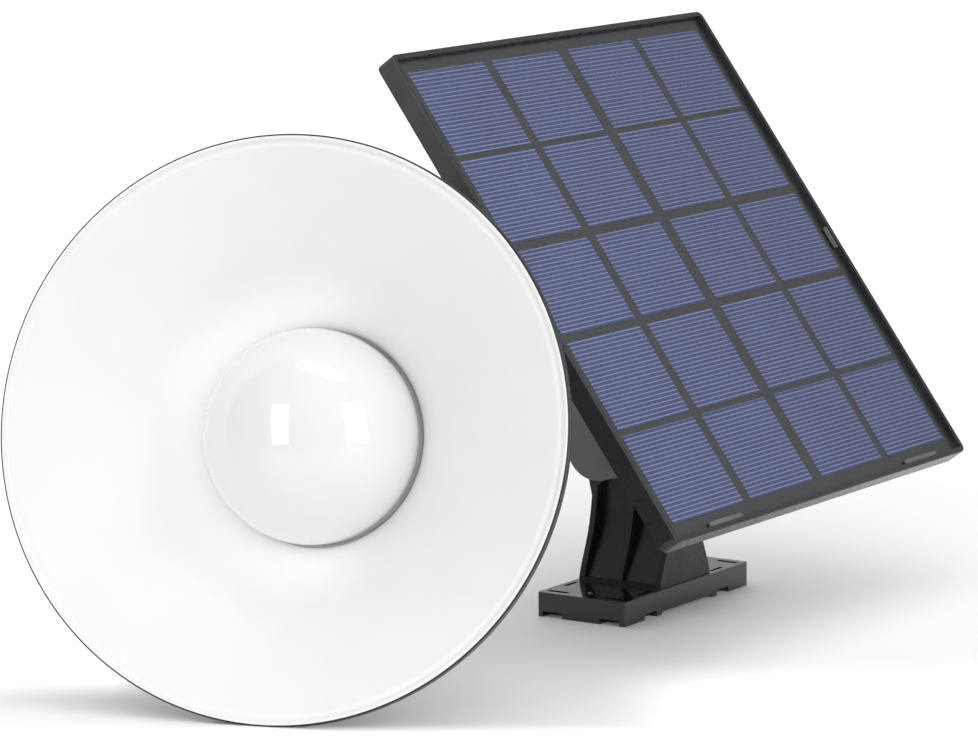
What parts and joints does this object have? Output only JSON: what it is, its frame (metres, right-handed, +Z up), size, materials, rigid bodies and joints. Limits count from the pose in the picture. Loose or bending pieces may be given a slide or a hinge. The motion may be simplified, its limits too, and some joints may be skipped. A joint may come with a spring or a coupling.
{
  "type": "solar shade lamp with tilting solar panel",
  "caption": "Hanging shade lamp with an opal dome and a battery housing, beside a solar panel that tilts on a fluted column and slotted base plate.",
  "frame": {"origin": "centre of the base plate underside, on the floor", "axes": "+X along the base plate long side and the panel width, away from the lamp; +Y towards the back of the panel; +Z up"},
  "size_m": [0.4171, 0.2692, 0.243],
  "materials": {
    "stand_black": "satin",
    "tray_black": "satin",
    "steel": "satin",
    "fibre": "matt",
    "cable_black": "satin",
    "tie_white": "satin",
    "nickel": "bright",
    "board_dark": "satin",
    "film_clear": "gloss",
    "cell_blue": "gloss",
    "copper": "bright",
    "pcb_green": "gloss",
    "chip_black": "matt",
    "shade_paint": "gloss",
    "opal": "gloss",
    "housing_black": "satin",
    "rubber_black": "matt",
    "aluminium": "satin",
    "pcb_white": "gloss",
    "led_phosphor": "gloss",
    "cell_wrap": "gloss",
    "wire_red": "satin"
  },
  "bodies": {
    "stand": {"base_plate": "stand_black", "column": "stand_black", "column_screws": "steel", "friction_washers": "fibre", "lead_coil": "cable_black", "coil_tie": "tie_white", "plug_body": "cable_black", "plug_barrel": "nickel"},
    "panel": {"hinge_yoke": "stand_black", "captive_nut": "steel", "yoke_screws": "steel", "panel_tray": "tray_black", "backing_board": "board_dark", "cover_film": "film_clear", "solar_cells": "cell_blue", "bus_ribbons": "copper", "retaining_clips": "tray_black", "junction_box": "tray_black", "junction_lid": "tray_black", "lid_screws": "steel", "terminal_board": "pcb_green", "blocking_diode": "chip_black", "panel_gland": "tray_black", "panel_lead_tail": "cable_black"},
    "knob": {"clamp_bolt": "steel", "clamp_knob": "stand_black", "spring_washer": "steel"},
    "lamp": {"shade": "shade_paint", "diffuser_dome": "opal", "diffuser_ring": "housing_black", "diffuser_seal": "rubber_black", "heat_plate": "aluminium", "led_board": "pcb_white", "led_chips": "led_phosphor", "ir_receiver": "chip_black", "board_screws": "steel", "battery_housing": "housing_black", "housing_seal": "rubber_black", "housing_screws": "steel", "end_cap": "housing_black", "cap_screws": "steel", "lithium_cells": "cell_wrap", "cell_tabs": "nickel", "cell_cradle": "housing_black", "control_board": "pcb_green", "board_components": "chip_black", "led_wires": "wire_red", "tact_switch": "chip_black", "switch_board": "pcb_green", "lamp_gland": "housing_black", "lamp_lead": "cable_black", "lamp_socket": "cable_black", "socket_pin": "nickel"},
    "loop": {"hanging_loop": "steel"},
    "button": {"power_button": "rubber_black"}
  },
  "joints": [
    {"name": "panel_tilt", "type": "hinge", "parent": "stand", "child": "panel", "pos_m": [0, 0.0146, 0.0676], "axis": [1, 0, 0], "range_deg": [-54, 30]},
    {"name": "knob_turn", "type": "hinge", "parent": "panel", "child": "knob", "pos_m": [0, 0.0146, 0.0676], "axis": [1, 0, 0], "continuous": true},
    {"name": "lamp_lift", "type": "slide", "parent": "stand", "child": "lamp", "axis": [0, 0, 1], "range_m": [0, 0.25]},
    {"name": "loop_fold", "type": "hinge", "parent": "lamp", "child": "loop", "pos_m": [-0.15468, 0.04225, 0.08658], "axis": [-0.3206, 0.9472, 0], "range_deg": [-180, 0]},
    {"name": "button_press", "type": "slide", "parent": "lamp", "child": "button", "axis": [-0.9195, -0.3112, 0.2402], "range_m": [0, 0.0012], "stiffness_N_per_m": 400, "springref_m": -0.001}
  ]
}
